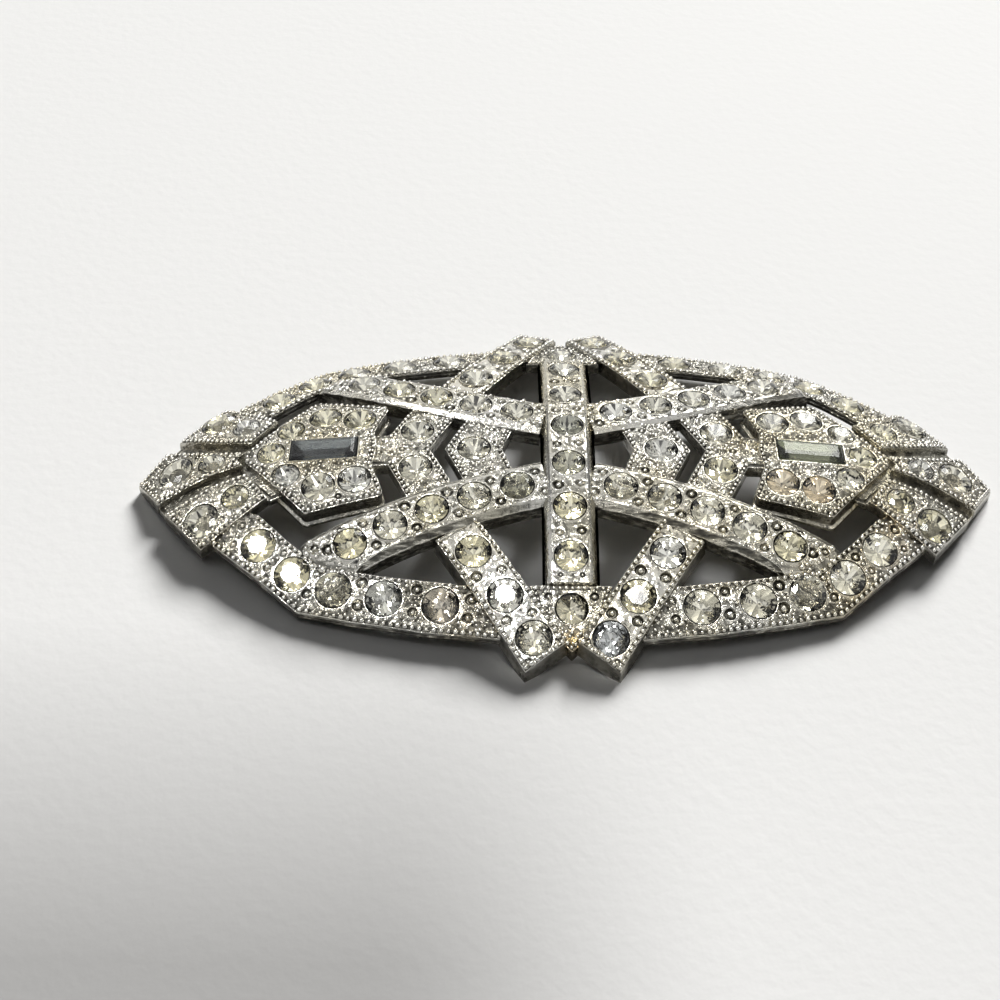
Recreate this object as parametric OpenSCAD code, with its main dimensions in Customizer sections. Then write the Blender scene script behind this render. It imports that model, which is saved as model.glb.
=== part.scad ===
// Domed and pierced rhinestone brooch: a white-metal casting set with round foiled stones,
// one baguette stone in each shoulder block, and a plain pin soldered across its back.
// X runs along the brooch, Y towards its upper edge, Z up from the surface that it lies on.
// One quarter is drawn and mirrored: the casting is alike in all four, and so are its stones.

/* [Dome] */
// Half of the length, from the middle to the tip of an end cap
half_length = 38; // [37:0.25:40]
// Half of the width that the side drop is counted over
half_width = 20; // [19:0.25:21]
// Height of the dome's datum skin over the surface that the brooch lies on
crown_h = 5.75; // [5.6:0.05:6]
// Even drop of the skin from the middle to an end
end_drop = 0.45; // [0:0.05:1]
// Further drop that curls the ends down
end_curl = 4.7; // [3.5:0.1:5]
// Drop of the skin from the middle to a side
side_drop = 5; // [4:0.1:5.5]
// Further drop towards the four corners
corner_drop = 5.1; // [4:0.1:5.5]
// Thickness of the cast plates
plate_t = 1.15; // [1.05:0.05:1.3]

/* [Centre bar and arcs] */
// Half of the bar's length
bar_half = 14.2; // [13.8:0.1:14.6]
// Width of the bar's flat face
bar_face_w = 3.1; // [3.05:0.05:3.4]
// Width of the bar at the foot of its sloping walls
bar_foot_w = 4.7; // [4.4:0.1:5.2]
// Height of the bar's face over the skin
bar_level = 0.75; // [0.6:0.05:1]
// Distance of an arc's centre line from the middle of the brooch
arc_start = 3.6; // [3.4:0.05:3.8]
// Slope of an arc where it leaves the bar
arc_slope = 0.21; // [0.18:0.01:0.24]
// Growth of the arc's slope along the brooch
arc_bend = 0.0077; // [0.006:0.0001:0.009]
// Place along the brooch where an arc has run into the border
arc_end = 21.5; // [20.5:0.25:22]
// Width of an arc's set face
arc_face_w = 3.6; // [3.4:0.1:3.8]
// Width of the polished bevel on an arc's outer side
arc_bevel_w = 0.5; // [0.3:0.05:0.7]
// Height of an arc's face over the skin
arc_level = 0.45; // [0.35:0.05:0.6]
// Thickness of the arcs and of the bar
arc_t = 1.35; // [1.2:0.05:1.5]

/* [Straps and border] */
// Angle of a strap from the width of the brooch
strap_lean = 33.2; // [32.5:0.1:34.5]
// Length of a strap from its tip to its end under the arc
strap_l = 13.6; // [13:0.1:14]
// Width of a strap's set face
strap_w = 4; // [3.8:0.1:4.2]
// Height of a strap's face over the skin at its tip
strap_level = 1; // [0.9:0.05:1.2]
// Height that it loses on the way to the arc, which it runs under
strap_fall = 1; // [0.9:0.05:1.1]
// Height of the border's face over the skin
border_level = 0; // [-0.2:0.05:0.1]
// Thickness of the border along its rim
rim_t = 0.7; // [0.6:0.05:0.9]
// Height of the keystone between two straps
key_level = 0.3; // [0.1:0.05:0.5]

/* [Chevrons, blocks and ends] */
// Height of the chevrons' faces over the skin
chevron_level = 0.1; // [0:0.05:0.3]
// Height of a shoulder block's face over the skin
block_level = 0.45; // [0.35:0.05:0.6]
// Radius of a block's corners
block_r = 0.5; // [0.3:0.1:0.7]
// Height of an end cap's lobes over the skin
end_level = 0.35; // [0.3:0.05:0.5]
// Height of the floor of the two polished grooves in an end cap
groove_level = -0.3; // [-0.4:0.05:-0.2]
// Width of those grooves
groove_w = 1.1; // [0.9:0.1:1.3]
// Height of the floor that joins a block to its end cap
bridge_level = -0.5; // [-0.55:0.05:-0.4]

/* [Stones] */
// Diameter of the stones on the bar, and of the two in the keystones
bar_stone_d = 2.75; // [2.6:0.05:2.8]
// Diameter of the stones on the straps
strap_stone_d = 2.9; // [2.7:0.05:3]
// Diameter of the stones on the border
border_stone_d = 3; // [2.8:0.05:3.1]
// Diameter of the stones on the arcs
arc_stone_d = 2.8; // [2.6:0.05:2.9]
// Diameter of the stones on the chevrons
chevron_stone_d = 2.8; // [2.6:0.05:2.9]
// Diameter of the larger stones on the blocks
block_stone_d = 2.8; // [2.6:0.05:2.9]
// Diameter of the smaller stones on the blocks and ends
small_stone_d = 2.4; // [2.2:0.05:2.5]
// Diameter of the large stones on the ends
end_stone_d = 3.2; // [3:0.05:3.3]
// Height of a stone's table over the metal round it
table_h = 0.42; // [0.3:0.02:0.5]
// Table's diameter as a share of the stone's
table_share = 0.58; // [0.5:0.02:0.64]
// Depth of a stone's point under the metal round it
point_depth = 0.75; // [0.6:0.05:0.8]
// Clear gap between a stone and its seat
seat_gap = 0.1; // [0.08:0.01:0.14]
// Length of a baguette
baguette_l = 5.8; // [5.4:0.1:6]
// Width of a baguette
baguette_w = 2.4; // [2.2:0.1:2.5]

/* [Pin] */
// Distance of the pin from the middle of the brooch, towards its upper edge
pin_y = 8.75; // [8.6:0.05:8.9]
// Distance of the hinge and of the catch from the middle
pin_x = 15.5; // [15.3:0.1:15.7]
// Diameter of the stem
stem_d = 1.1; // [0.9:0.1:1.3]
// Height of the stem over the surface
stem_h = 1.5; // [1.3:0.1:1.7]
// Length of the soldered pads
pad_l = 3; // [2.8:0.1:3.2]
// Width of the soldered pads
pad_w = 2.4; // [2.2:0.1:2.6]
// Height of the pads' lower faces over the surface
pad_h = 2.9; // [2.8:0.05:2.95]

/* [Hidden] */

sides = 8;
girdle_t = 0.12;
tall = 12;
core_shift = [-0.4, -0.5];
wall_inset = 0.08;
floor_t = 0.65;
grid_n = [20, 12];
grid_half = [40, 24];
path_step = 2.5;
strap_tip = [2.15, 19.95];
strap_along = [sin(strap_lean), -cos(strap_lean)];
block_mid = 21.2;
seat_depth = point_depth + seat_gap;
silver = [0.78, 0.78, 0.76];
straw = [0.93, 0.91, 0.80];
blue_grey = [0.30, 0.36, 0.40];
green_grey = [0.66, 0.71, 0.62];

// Plan outlines of one quarter, or of the half beside the X or Y axis that is mirrored over it
border_rim = [[3.4, 18.2], [5.9, 18], [12, 17.3], [18, 16.15], [22.6, 14.95], [29.1, 9.4], [30.4, 8.2],
              [28.2, 5.2], [26.3, 6.3], [23.7, 8.95], [20.7, 11.55], [15, 12.75], [8.9, 13.6], [5.6, 14]];
key_rim = [[0, 13.9], [3.4, 13.9], [2.4, 17], [0, 19.2]];
inner_chevron_rim = [[5.7, 0], [4.2, 4.2], [7.8, 5.6], [9, 3.7], [10.7, 0]];
outer_chevron_rim = [[12, 0], [9.5, 5], [13, 7], [15.55, 1.9], [17.4, 1.9], [17.4, 0]];
block_rim = [[16.6, 0], [16.9, 2.05], [15.7, 5.5], [22.4, 6.95], [28.2, 0.5], [28.2, 0]];
end_rim = [[28.9, 0], [25.5, 4.6], [31.2, 8.8], [35.1, 4.3], [half_length, 0]];
bridge_rim = [[27, 0], [24.4, 4.05], [25.7, 4.5], [30, 0]];
groove_path = [[27.8, 1.2], [31, 1.9], [33.2, 2.9], [36.6, 4.5]];

// Stones of one quarter: distance along and across the brooch, height over the skin, diameter, turn
X = 0; Y = 1; LEVEL = 2; DIA = 3; TURN = 4;
centre_rows = [
    for (i = [0:2]) [0, 2.36 + 4.68 * i, bar_level, bar_stone_d, 0],
    [0, 15.85, key_level, bar_stone_d - 0.15, 0]];
strap_rows = [
    for (along = [1.75, 6, 10.8]) let (p = strap_tip + along * strap_along)
        [p.x, p.y, strap_level - strap_fall * along / strap_l, strap_stone_d, strap_lean]];
border_rows = [
    for (p = [[10.7, 15.25, -9], [15.4, 14.5, -11], [19.6, 13.55, -16], [23.15, 11.9, -36],
              [26.2, 9.1, -41]])
        [p.x, p.y, border_level, border_stone_d, p.z]];
arc_rows = [
    for (x = [4.4, 8.05, 11.6, 15.05, 18.35]) [x, arc_y(x), arc_level, arc_stone_d, atan(arc_rise(x))]];
chevron_rows = [
    [8.15, 0, chevron_level, chevron_stone_d, 0],
    [13.15, 2.3, chevron_level, chevron_stone_d, -25]];
block_rows = [
    [18.3, 3.75, block_level, block_stone_d, 12],
    [21.4, 4.3, block_level, block_stone_d, 12],
    [24.35, 2.8, block_level, small_stone_d, -48],
    [25.85, 0, block_level, small_stone_d, 0]];
end_rows = [
    [34.5, 0, end_level, end_stone_d, 0],
    [31.2, 0, end_level, small_stone_d, 0],
    [31.4, 6.15, end_level, end_stone_d, 40],
    [28.6, 4.35, end_level, small_stone_d, 40]];

function drop_u(x) = pow(x / half_length, 2);
function drop_v(y) = pow(y / half_width, 2);
// Height of the datum skin over the surface, and its two slopes
function skin(x, y) = crown_h - end_drop * drop_u(x) - end_curl * pow(drop_u(x), 2)
    - side_drop * drop_v(y) - corner_drop * drop_u(x) * drop_v(y);
function slope_x(x, y) =
    -2 * x / pow(half_length, 2) * (end_drop + 2 * end_curl * drop_u(x) + corner_drop * drop_v(y));
function slope_y(x, y) = -2 * y / pow(half_width, 2) * (side_drop + corner_drop * drop_u(x));

function arc_y(x) = arc_start + arc_slope * abs(x) + arc_bend * x * x;
function arc_rise(x) = sign(x) * arc_slope + 2 * arc_bend * x;
function unit(v) = v / norm(v);
function signs(value) = value == 0 ? [1] : [1, -1];

// The rows of one quarter and their mirror images
function all_quarters(rows) = [
    for (r = rows) for (sx = signs(r[X])) for (sy = signs(r[Y]))
        [sx * r[X], sy * r[Y], r[LEVEL], r[DIA], sx * sy * r[TURN]]];

// Frame of a stone: it stands square on the skin, turned about its own axis
function seat_frame(r) = let (
    gx = slope_x(r[X], r[Y]), gy = slope_y(r[X], r[Y]),
    up = unit([-gx, -gy, 1]),
    along = unit([cos(r[TURN]), sin(r[TURN]), gx * cos(r[TURN]) + gy * sin(r[TURN])]),
    across = cross(up, along),
    z = skin(r[X], r[Y]) + r[LEVEL])
    [[along.x, across.x, up.x, r[X]], [along.y, across.y, up.y, r[Y]], [along.z, across.z, up.z, z]];

// Solid between the surface that lies `level` over the skin and the one that lies `t` under it
module slab(level, t) {
    nx = grid_n.x;
    ny = grid_n.y;
    row = ny + 1;
    count = (nx + 1) * row;
    points = [
        for (depth = [0, t]) for (i = [0:nx]) for (j = [0:ny])
            let (x = grid_half.x * (2 * i / nx - 1), y = grid_half.y * (2 * j / ny - 1))
                [x, y, skin(x, y) + level - depth]];
    faces = [
        for (i = [0:nx - 1]) for (j = [0:ny - 1])
            let (a = i * row + j, b = a + row, c = a + count, d = b + count,
                 flip = (i < nx / 2) == (j < ny / 2))
                each flip ? [[a, a + 1, b + 1], [a, b + 1, b], [c, d + 1, c + 1], [c, d, d + 1]]
                    : [[a, a + 1, b], [a + 1, b + 1, b], [c, d, c + 1], [c + 1, d, d + 1]],
        for (i = [0:nx - 1]) for (end = [0, ny])
            let (a = i * row + end, b = a + row)
                each end == 0 ? [[a, b, b + count], [a, b + count, a + count]]
                    : [[b, a, a + count], [b, a + count, b + count]],
        for (j = [0:ny - 1]) for (end = [0, nx])
            let (a = end * row + j, b = a + 1)
                each end == 0 ? [[b, a, a + count], [b, a + count, b + count]]
                    : [[a, b, b + count], [a, b + count, a + count]]];
    polyhedron(points, faces, convexity = 4);
}

// A flat outline given the dome's form: its face lies at a level over the skin
module plate(level, t = plate_t) {
    intersection() {
        translate([0, 0, -tall]) linear_extrude(2 * tall) children();
        slab(level, t);
    }
}

// Mirror images of a quarter, or of a half, over both axes or one
module quarters() {
    for (sx = [0, 1]) for (sy = [0, 1]) mirror([sx, 0, 0]) mirror([0, sy, 0]) children();
}

module over_x(rim) {
    rim_back = [for (i = [len(rim) - 1:-1:0]) if (rim[i].y > 0) [rim[i].x, -rim[i].y]];
    polygon(concat(rim, rim_back));
}

module both_ends() {
    for (sx = [0, 1]) mirror([sx, 0]) children();
}

module flat_quarters() {
    for (sy = [0, 1]) mirror([0, sy]) both_ends() children();
}

// A band along a plan path: each section point is a distance to its left and a height over the skin,
// and the points run anticlockwise as the path comes towards the eye
module band(path, section, fall = 0) {
    last = len(path) - 1;
    m = len(section);
    points = [
        for (i = [0:last])
            let (t = unit(path[min(i + 1, last)] - path[max(i - 1, 0)]), left = [-t.y, t.x])
            for (s = section) let (p = path[i] + s[0] * left)
                [p.x, p.y, skin(p.x, p.y) + s[1] - fall * i / last]];
    faces = [
        [for (k = [0:m - 1]) k],
        [for (k = [m - 1:-1:0]) last * m + k],
        for (i = [0:last - 1]) for (k = [0:m - 1])
            let (a = i * m + k, b = i * m + (k + 1) % m)
                each [[a, a + m, b], [b, a + m, b + m]]];
    polyhedron(points, faces, convexity = 4);
}

module centre_bar() {
    steps = ceil(2 * bar_half / path_step);
    path = [for (i = [0:steps]) [0, bar_half * (1 - 2 * i / steps)]];
    foot = bar_foot_w / 2;
    face = bar_face_w / 2;
    low = bar_level - arc_t;
    band(path, [[-foot, low], [foot, low], [foot, low + 0.3], [face, bar_level], [-face, bar_level],
                [-foot, low + 0.3]]);
}

// The arc on the upper side, with a polished bevel along both edges; the lower one is its mirror image
module arc() {
    steps = 2 * ceil(arc_end / path_step);
    path = [for (i = [0:steps]) let (x = arc_end * (2 * i / steps - 1)) [x, arc_y(x)]];
    face = arc_face_w / 2;
    edge = face + arc_bevel_w;
    low = arc_level - arc_t;
    band(path, [[-edge, low], [edge, low], [edge, arc_level - arc_bevel_w], [face, arc_level],
                [-face, arc_level], [-edge, arc_level - arc_bevel_w / 2]]);
}

module strap() {
    steps = ceil(strap_l / path_step);
    path = [for (i = [0:steps]) strap_tip + strap_l * i / steps * strap_along];
    face = strap_w / 2;
    foot = face + 0.1;
    low = strap_level - plate_t;
    band(path, [[-foot, low], [foot, low], [face, strap_level], [-face, strap_level]], strap_fall);
}

module block_outline() {
    offset(r = block_r, $fn = 16) offset(delta = -block_r) over_x(block_rim);
}

// Two grooves divide an end cap into a middle lobe and one on each side
module end_lobes_outline() {
    last = len(groove_path) - 1;
    function side(i, w) = let (t = unit(groove_path[min(i + 1, last)] - groove_path[max(i - 1, 0)]))
        groove_path[i] + w / 2 * [-t.y, t.x];
    groove = concat([for (i = [0:last]) side(i, groove_w)], [for (i = [last:-1:0]) side(i, -groove_w)]);
    difference() {
        over_x(end_rim);
        polygon(groove);
        mirror([0, 1]) polygon(groove);
    }
}

module baguette_place(sx) {
    multmatrix(seat_frame([sx * block_mid, 0, block_level, baguette_l, 0])) children();
}

// Flat-bottomed pads on the back, for the hinge and the catch
module solder_pads() {
    intersection() {
        for (sx = [-1, 1]) translate([sx * pin_x - pad_l / 2, pin_y - pad_w / 2, pad_h])
            cube([pad_l, pad_w, tall]);
        slab(-0.2, tall);
    }
}

// The border's thicker part: it leaves a thin rim along the outer side, and stops just short of the inner one
module border_core() {
    offset(delta = -wall_inset) intersection() {
        polygon(border_rim);
        translate(core_shift) polygon(border_rim);
    }
}

// All the cast metal before the seats are cut
module casting() {
    centre_bar();
    for (sy = [0, 1]) mirror([0, sy, 0]) arc();
    quarters() strap();
    plate(border_level, rim_t) flat_quarters() polygon(border_rim);
    plate(border_level - rim_t / 2, plate_t - rim_t / 2) flat_quarters() border_core();
    plate(key_level) flat_quarters() polygon(key_rim);
    plate(chevron_level) both_ends() {
        over_x(inner_chevron_rim);
        over_x(outer_chevron_rim);
    }
    plate(block_level) both_ends() block_outline();
    plate(end_level) both_ends() end_lobes_outline();
    plate(groove_level, floor_t) both_ends() offset(delta = -wall_inset) over_x(end_rim);
    plate(bridge_level, floor_t) both_ends() over_x(bridge_rim);
    solder_pads();
}

module cast_mount() color(silver) {
    seats = all_quarters(concat(centre_rows, strap_rows, border_rows, arc_rows, chevron_rows, block_rows,
                                end_rows));
    difference() {
        intersection() {
            casting();
            translate([-2 * half_length, -2 * half_width, 0]) cube([4 * half_length, 4 * half_width, tall]);
        }
        for (s = seats) multmatrix(seat_frame(s)) translate([0, 0, -seat_depth])
            rotate(180 / sides) cylinder(h = seat_depth + 1, r = s[DIA] / 2 + seat_gap, $fn = sides);
        for (sx = [-1, 1]) baguette_place(sx) translate([0, 0, 1 - seat_depth / 2])
            cube([baguette_l + 2 * seat_gap, baguette_w + 2 * seat_gap, 2 + seat_depth], center = true);
    }
}

// A round stone: table, sixteen crown facets, girdle and eight pavilion facets
module round_stone(d) {
    function ring(r, z, turn) = [
        for (k = [0:sides - 1]) let (a = (k + turn) * 360 / sides) [r * cos(a), r * sin(a), z]];
    points = concat(ring(table_share * d / 2, table_h, 0), ring(d / 2, girdle_t / 2, 0.5),
                    ring(d / 2, -girdle_t / 2, 0.5), [[0, 0, -point_depth]]);
    faces = [
        [for (k = [sides - 1:-1:0]) k],
        for (k = [0:sides - 1]) let (next = (k + 1) % sides) each [
            [k, next, sides + k],
            [next, sides + next, sides + k],
            [sides + k, sides + next, 2 * sides + next, 2 * sides + k],
            [2 * sides + k, 2 * sides + next, 3 * sides]]];
    polyhedron(points, faces);
}

module stones(rows) {
    for (r = all_quarters(rows)) multmatrix(seat_frame(r)) round_stone(r[DIA]);
}

module centre_stones() color(straw) stones(centre_rows);
module strap_stones() color(straw) stones(strap_rows);
module border_stones() color(straw) stones(border_rows);
module arc_stones() color(straw) stones(arc_rows);
module chevron_stones() color(straw) stones(chevron_rows);
module block_stones() color(straw) stones(block_rows);
module end_stones() color(straw) stones(end_rows);

// A baguette: table, two steps of four crown facets, girdle, four pavilion facets and a keel
module baguette(sx) baguette_place(sx) {
    l = baguette_l / 2;
    w = baguette_w / 2;
    steps = [[0.5, table_h], [0.22, 0.75 * table_h], [0, girdle_t], [0, -girdle_t / 2]];
    points = [
        for (s = steps) for (c = [[1, 1], [-1, 1], [-1, -1], [1, -1]])
            [c.x * (l - s[0]), c.y * (w - s[0]), s[1]],
        [l - w, 0, -point_depth], [w - l, 0, -point_depth]];
    keel = 4 * len(steps);
    low = keel - 4;
    faces = [
        [3, 2, 1, 0],
        for (s = [0:len(steps) - 2]) for (k = [0:3]) let (a = 4 * s + k, b = 4 * s + (k + 1) % 4)
            [a, b, b + 4, a + 4],
        [low, low + 1, keel + 1, keel],
        [low + 1, low + 2, keel + 1],
        [low + 2, low + 3, keel, keel + 1],
        [low + 3, low, keel]];
    polyhedron(points, faces);
}

module baguette_left() color(blue_grey) baguette(-1);
module baguette_right() color(green_grey) baguette(1);

// The pin: two soldered feet that also stand on the surface, the stem between them and its catch
module pin_back() color(silver) {
    foot_t = 0.6;
    solder_gap = 0.05;
    top = pad_h - solder_gap;
    post = [1.8, 2];
    catch_r = 1.3;
    for (sx = [-1, 1]) translate([sx * pin_x, pin_y, 0]) {
        translate([-pad_l / 2, -pad_w / 2, top - foot_t]) cube([pad_l, pad_w, foot_t]);
        translate([-post.x / 2, -post.y / 2, 0]) cube([post.x, post.y, top - foot_t / 2]);
    }
    translate([-pin_x, pin_y, stem_h]) rotate([0, 90, 0]) cylinder(h = 2 * pin_x, d = stem_d, $fn = 24);
    for (x = [-pin_x + post.x / 2 - 0.4, pin_x - post.x / 2 - 0.6]) translate([x, pin_y, stem_h])
        rotate([0, 90, 0]) cylinder(h = 1, r = catch_r, $fn = 24);
}

cast_mount();
centre_stones();
strap_stones();
border_stones();
arc_stones();
chevron_stones();
block_stones();
end_stones();
baguette_left();
baguette_right();
pin_back();
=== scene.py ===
import bpy, math
import numpy as np
from mathutils import Matrix, Vector, geometry


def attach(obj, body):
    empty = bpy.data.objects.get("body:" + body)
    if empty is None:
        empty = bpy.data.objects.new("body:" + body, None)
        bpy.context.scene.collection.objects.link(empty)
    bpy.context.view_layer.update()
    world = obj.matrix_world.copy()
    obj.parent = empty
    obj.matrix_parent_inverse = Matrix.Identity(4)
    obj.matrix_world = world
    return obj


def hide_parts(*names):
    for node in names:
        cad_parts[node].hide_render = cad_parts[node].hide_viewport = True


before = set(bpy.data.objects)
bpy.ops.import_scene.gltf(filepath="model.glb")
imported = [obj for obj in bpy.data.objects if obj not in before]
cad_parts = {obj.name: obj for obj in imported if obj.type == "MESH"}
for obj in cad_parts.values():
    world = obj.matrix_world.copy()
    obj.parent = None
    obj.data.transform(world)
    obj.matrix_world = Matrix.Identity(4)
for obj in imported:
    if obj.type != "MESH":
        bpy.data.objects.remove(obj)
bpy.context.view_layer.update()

# ---------- table, light and camera ----------
# A pale matt table top under soft light from behind and above; the camera looks down at
# forty-five degrees over the brooch's lower edge. None of it belongs to the brooch.
scene = bpy.context.scene

def added(name, data):
    """A new object in the scene"""
    made = bpy.data.objects.new(name, data)
    scene.collection.objects.link(made)
    return made

view = bpy.data.cameras.new("view")
view.lens, view.sensor_width = 57.6, 36
view.clip_start, view.clip_end = 0.005, 20
camera = added("camera", view)
scene.camera = camera
# How the camera is turned, how far it is from the dome's top, and where that top is in the picture
pitch, yaw, roll, reach = 0.7903753, 0.00790903, -0.0123947, 0.139236
dome_px, middle_px, lens_px, dome_top = (567.591, 449.345), 500, 1600.0, 0.00575
right = Vector((math.cos(yaw), -math.sin(yaw), 0))
ahead = Vector((math.sin(yaw), math.cos(yaw), 0))
rise = ahead * math.sin(pitch) + Vector((0, 0, math.cos(pitch)))
back = -ahead * math.cos(pitch) + Vector((0, 0, math.sin(pitch)))
side = right * math.cos(roll) - rise * math.sin(roll)
head = right * math.sin(roll) + rise * math.cos(roll)
shift = [(middle_px - dome_px[0]) * reach / lens_px, (dome_px[1] - middle_px) * reach / lens_px]
place = Vector((0, 0, dome_top)) + back * reach + side * shift[0] + head * shift[1]
camera.matrix_world = Matrix([[side[i], head[i], back[i], place[i]] for i in range(3)] + [[0, 0, 0, 1]])

def painted(name):
    """A new material, with its tree and its shader's sockets"""
    made = bpy.data.materials.new(name)
    made.use_nodes = True
    return made, made.node_tree, made.node_tree.nodes["Principled BSDF"].inputs

def give(tree, inputs, sockets):
    """Gives each named socket its value, or links it to the socket of another node"""
    for label, value in sockets.items():
        if isinstance(value, bpy.types.NodeSocket):
            tree.links.new(value, inputs[label])
        else:
            inputs[label].default_value = value

def add_node(tree, kind, sockets=None, **settings):
    """A new node with its settings made and its sockets given"""
    made = tree.nodes.new(kind)
    for label, value in settings.items():
        setattr(made, label, value)
    give(tree, made.inputs, sockets or {})
    return made

def noise(tree, spot, scale, detail, rough=0.5):
    return add_node(tree, "ShaderNodeTexNoise",
                    {"Vector": spot, "Scale": scale, "Detail": detail, "Roughness": rough}).outputs["Fac"]

def calc(tree, kind, a, b, clamp=False):
    return add_node(tree, "ShaderNodeMath", {0: a, 1: b}, operation=kind, use_clamp=clamp).outputs[0]

def between(tree, value, low, high, way="LINEAR"):
    """Grows from 0 at low to 1 at high"""
    return add_node(tree, "ShaderNodeMapRange", {"Value": value, "From Min": low, "From Max": high},
                    interpolation_type=way).outputs["Result"]

def ramp(tree, share, stops):
    made = add_node(tree, "ShaderNodeValToRGB", {"Fac": share})
    while len(made.color_ramp.elements) < len(stops):
        made.color_ramp.elements.new(0.5)
    for element, (at, colour) in zip(made.color_ramp.elements, stops):
        element.position, element.color = at, (*colour, 1)
    return made.outputs["Color"]

# A painted shadow darkens the table towards the picture's near left corner, and the table is pale again beyond it
table, wood, paint = painted("matt_table")
spot = add_node(wood, "ShaderNodeTexCoord").outputs["Object"]
parted = add_node(wood, "ShaderNodeSeparateXYZ", {"Vector": spot}).outputs
shadow_left, shadow_near, shadow_middle, shadow_reach = (0.013, -0.016), (-0.0145, -0.046), (-0.03, -0.045, 0), (0.17, 0.035)
painted_shadow = calc(wood, "MULTIPLY", between(wood, parted["X"], *shadow_left, "SMOOTHSTEP"), between(wood, parted["Y"], *shadow_near))
apart = add_node(wood, "ShaderNodeVectorMath", {0: spot, 1: shadow_middle}, operation="DISTANCE").outputs["Value"]
painted_shadow = calc(wood, "MULTIPLY", painted_shadow, between(wood, apart, *shadow_reach, "SMOOTHSTEP"))
rough_paint = add_node(wood, "ShaderNodeBump",
                       {"Height": noise(wood, spot, 900, 2), "Distance": 0.0001, "Strength": 0.25})
# The ramp's dark end is the colour of the painted shadow
give(wood, paint, {"Base Color": ramp(wood, painted_shadow, [(0, (0.83, 0.827, 0.82)), (1, (0.385, 0.38, 0.375))]),
                   "Roughness": 0.7, "Normal": rough_paint.outputs["Normal"]})
grid = bpy.data.meshes.new("table_top")
table_side, squares = 4, 24
row = squares + 1
grid.from_pydata([((i / squares - 0.5) * table_side, (j / squares - 0.4) * table_side, 0)
                  for j in range(row) for i in range(row)], [],
                 [(j * row + i, j * row + i + 1, (j + 1) * row + i + 1, (j + 1) * row + i)
                  for j in range(squares) for i in range(squares)])
grid.materials.append(table)
floor = added("table_top", grid)

def soft_light(name, place, size, power, colour=(1, 1, 1)):
    """An oblong soft light that is turned towards the brooch"""
    lamp = bpy.data.lights.new(name, "AREA")
    lamp.shape, lamp.size, lamp.size_y = "RECTANGLE", *size
    lamp.energy, lamp.color = power, colour
    made = added(name, lamp)
    made.location = place
    made.rotation_euler = (-Vector(place)).to_track_quat("-Z", "Y").to_euler()
    return made

window = soft_light("window", (2.672, 5.480, 3.520), (2.56, 2.24), 965, (1, 0.995, 0.98))
window.visible_glossy = window.visible_transmission = False
soft_light("ceiling", (-0.1, -0.05, 0.6), (0.5, 0.5), 0.08)

# The room lights nothing dull: the metal and the stones mirror its light and dark patches and its lamps
world = scene.world = bpy.data.worlds.new("room")
world.use_nodes = True
world.cycles_visibility.diffuse = False
room = world.node_tree
way = add_node(room, "ShaderNodeTexCoord").outputs["Generated"]

def mix(tree, share, a, b, blend="MIX"):
    return add_node(tree, "ShaderNodeMix", {"Factor": share, "A": a, "B": (*b, 1)},
                    data_type="RGBA", blend_type=blend).outputs["Result"]

def towards(axis):
    return add_node(room, "ShaderNodeVectorMath", {0: way, 1: axis}, operation="DOT_PRODUCT").outputs["Value"]

patches = calc(room, "ADD", noise(room, way, 3.2, 2), towards((0, -0.15, 0.12)))
seen = ramp(room, patches, [(0.43, (0.2, 0.2, 0.2)), (0.53, (0.76, 0.765, 0.77))])
for axis, edge, full, glow in (((0.03, -0.75, 0.66), 0.95, 0.965, (0.06, 0.06, 0.065)),
                               ((0, 0.91, 0.415), 0.78, 0.94, (1.15, 1.15, 1.13)),
                               ((0.06, 0.1, 0.993), 0.955, 0.985, (1.05, 1.05, 1.04)),
                               ((0.287, 0.788, 0.545), 0.978, 0.988, (11, 11, 10.7)),
                               ((-0.46, 0.06, 0.886), 0.993, 0.9955, (50, 50, 50)),
                               ((-0.036, -0.008, 0.999), 0.998, 0.9988, (50, 50, 50)),
                               ((0.052, -0.01, 0.9986), 0.998, 0.9988, (22, 22, 22))):
    seen = mix(room, between(room, towards(axis), edge, full), seen, glow)
lamps = add_node(room, "ShaderNodeTexVoronoi", {"Vector": way, "Scale": 4.3}).outputs["Distance"]
seen = mix(room, between(room, lamps, 0.12, 0.09), seen, (13, 13, 12.8))
# The camera itself sees a plain pale wall
seen = mix(room, add_node(room, "ShaderNodeLightPath").outputs["Is Camera Ray"], seen, (0.74, 0.74, 0.735))
give(room, room.nodes["Background"].inputs, {"Color": seen, "Strength": 1.15})
scene.view_settings.view_transform = "Standard"

# ---------- the border ----------
# Four cast strips that make the brooch's outer edge, each set with five stones. They are white metal,
# cast in one with all the rest, plated bright, and gone grey in the hollows with age.
mm, per_mm2 = 0.001, 1e6
rng = np.random.default_rng(11)
half_length, half_width, crown_h = 38, 20, 5.75
end_drop, end_curl, side_drop, corner_drop = 0.45, 4.7, 5, 5.1

def skin(x, y):
    """The dome's height, in millimetres as all that is cast"""
    u, v = (x / half_length) ** 2, (y / half_width) ** 2
    return crown_h - end_drop * u - end_curl * u * u - side_drop * v - corner_drop * u * v

def stone_frame(x, y, level, turn):
    """A spot over the dome, and the directions along, across and out of it there"""
    u, v = (x / half_length) ** 2, (y / half_width) ** 2
    gx = -2 * x / half_length ** 2 * (end_drop + 2 * end_curl * u + corner_drop * v)
    gy = -2 * y / half_width ** 2 * (side_drop + corner_drop * u)
    out = np.array([-gx, -gy, 1]) / np.sqrt(gx * gx + gy * gy + 1)
    c, s = math.cos(math.radians(turn)), math.sin(math.radians(turn))
    along = np.array([c, s, gx * c + gy * s])
    along /= np.linalg.norm(along)
    return np.array([x, y, skin(x, y) + level]), along, np.cross(out, along), out

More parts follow.
